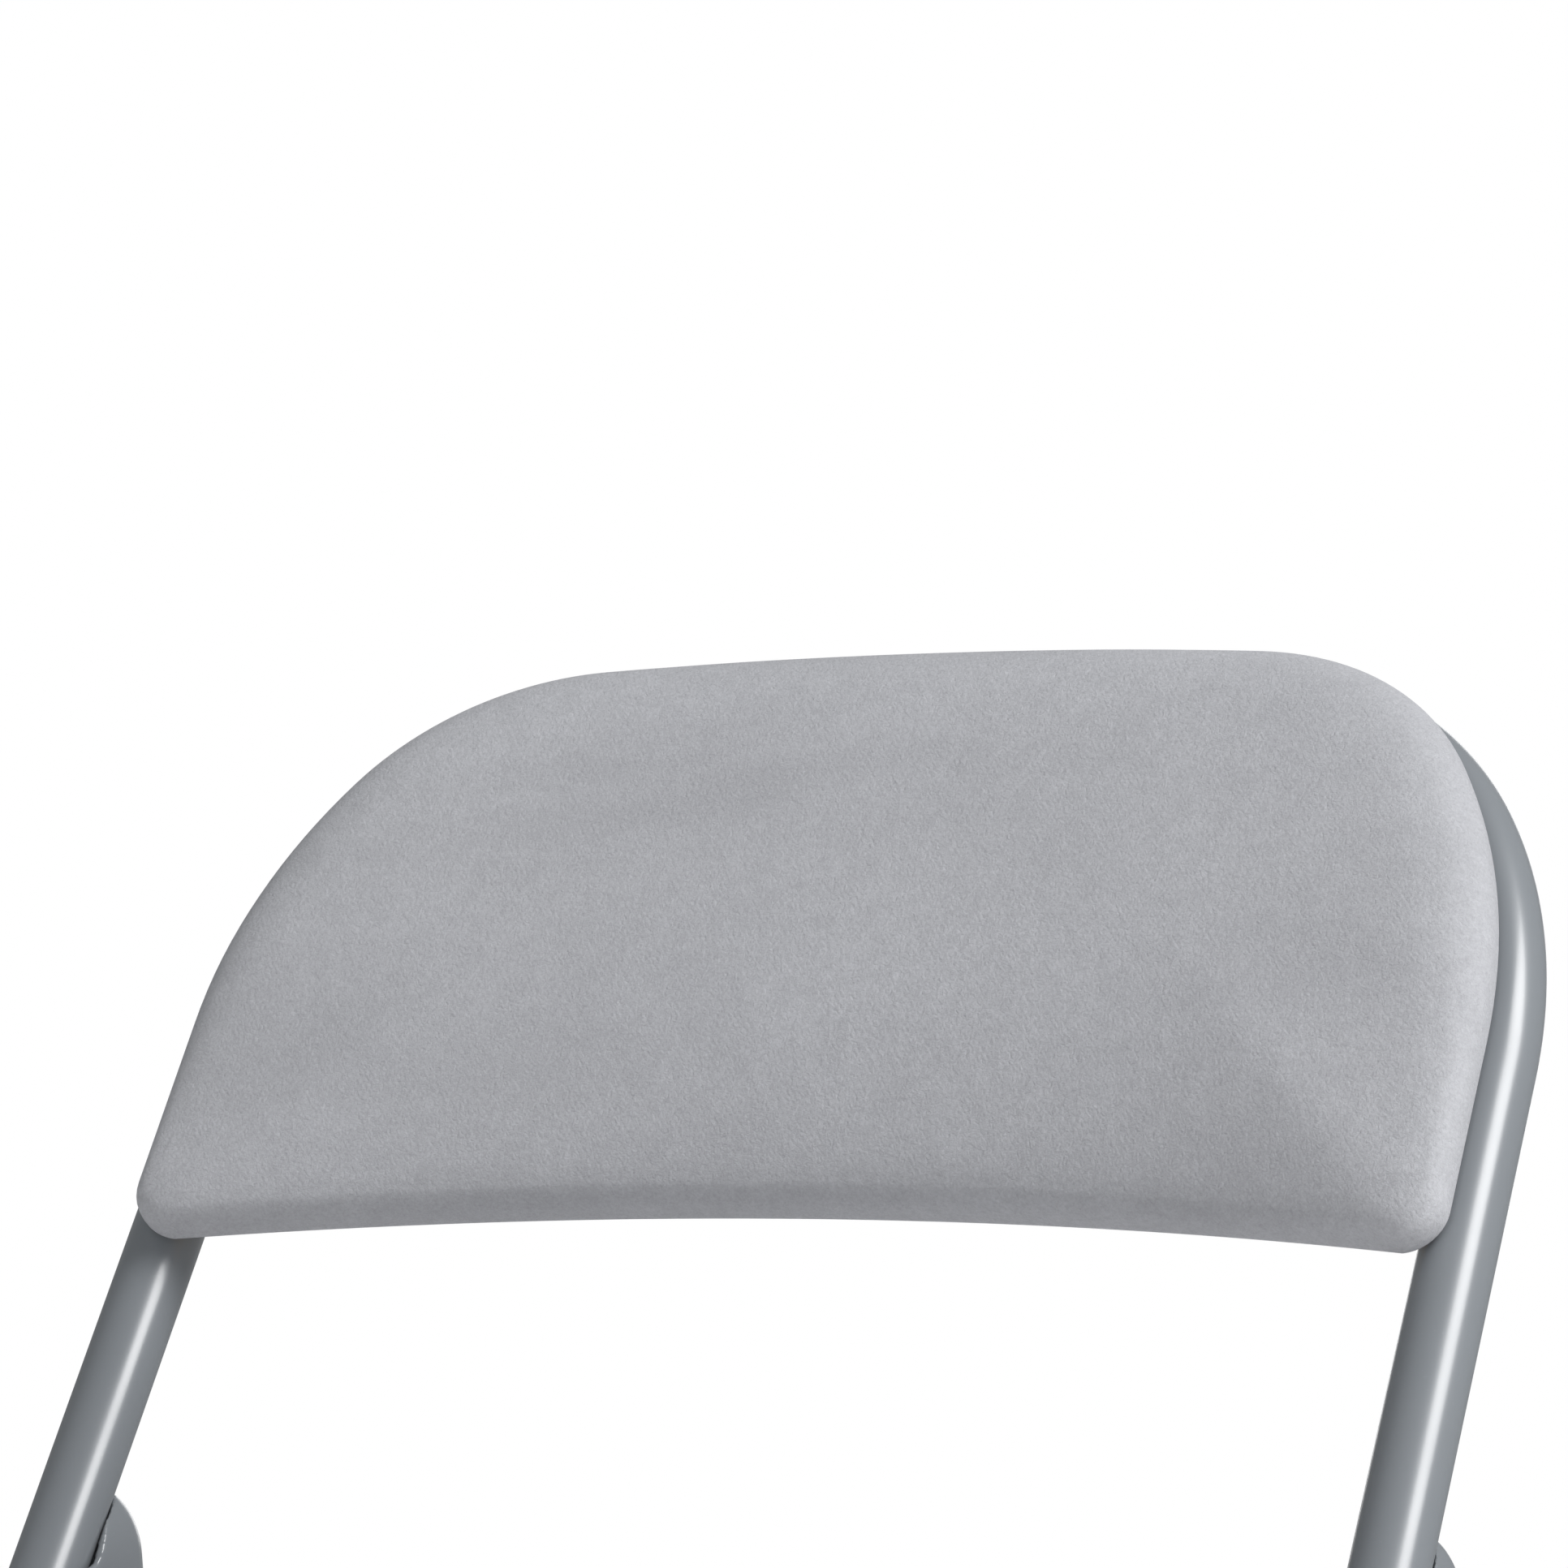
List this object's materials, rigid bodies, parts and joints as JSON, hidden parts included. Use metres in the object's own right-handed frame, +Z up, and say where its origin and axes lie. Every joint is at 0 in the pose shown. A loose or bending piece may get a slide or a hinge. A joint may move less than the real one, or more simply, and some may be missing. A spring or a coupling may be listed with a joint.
{
  "type": "padded folding chair",
  "caption": "Padded folding chair: inverted-U tube frame with a curved velvet backrest, padded seat and folding rear legs.",
  "frame": {"origin": "on the floor, in the middle of the chair's width and of its extent from front to rear, chair open", "axes": "+Z up, +Y towards the rear of the chair, +X to the right when looking along +Y"},
  "size_m": [0.443, 0.475, 0.7897],
  "materials": {
    "grey_paint": "gloss",
    "grey_velvet": "matt",
    "plywood": "satin",
    "black_lining": "matt",
    "grey_rubber": "matt",
    "zinc_steel": "satin"
  },
  "bodies": {
    "front_assembly": {"front_frame": "grey_paint", "front_stretcher": "grey_paint", "front_foot_cap_left": "grey_rubber", "front_foot_cap_right": "grey_rubber", "backrest_panel": "plywood", "backrest_cushion": "grey_velvet", "backrest_tab_lower_left": "grey_paint", "backrest_tab_lower_right": "grey_paint", "backrest_tab_upper_left": "grey_paint", "backrest_tab_upper_right": "grey_paint", "backrest_screw_lower_left": "zinc_steel", "backrest_screw_lower_right": "zinc_steel", "backrest_screw_upper_left": "zinc_steel", "backrest_screw_upper_right": "zinc_steel", "seat_pivot_rivet_left": "zinc_steel", "seat_pivot_rivet_right": "zinc_steel", "seat_pivot_bush_left": "grey_rubber", "seat_pivot_bush_right": "grey_rubber"},
    "seat_assembly": {"seat_board": "plywood", "seat_cushion": "grey_velvet", "seat_dust_cover": "black_lining", "seat_bracket_left": "grey_paint", "seat_bracket_right": "grey_paint", "seat_screw_front_left": "zinc_steel", "seat_screw_middle_left": "zinc_steel", "seat_screw_rear_left": "zinc_steel", "seat_screw_front_right": "zinc_steel", "seat_screw_middle_right": "zinc_steel", "seat_screw_rear_right": "zinc_steel"},
    "rear_leg_assembly": {"rear_leg_left": "grey_paint", "rear_leg_right": "grey_paint", "rear_stretcher": "grey_paint", "rear_foot_cap_left": "grey_rubber", "rear_foot_cap_right": "grey_rubber", "leg_pivot_rivet_left": "zinc_steel", "leg_pivot_rivet_right": "zinc_steel", "guide_pin_left": "zinc_steel", "guide_pin_right": "zinc_steel"}
  },
  "joints": [
    {"name": "seat_fold", "type": "hinge", "parent": "front_assembly", "child": "seat_assembly", "pos_m": [0, -0.00388, 0.40149], "axis": [1, 0, 0], "range_deg": [0, 66]},
    {"name": "rear_leg_fold", "type": "hinge", "parent": "front_assembly", "child": "rear_leg_assembly", "pos_m": [0, 0.03247, 0.47944], "axis": [-1, 0, 0], "range_deg": [0, 40]}
  ],
  "couplings": [
    {"joint": "rear_leg_fold", "follows": "seat_fold", "ratio": 0.60606}
  ]
}
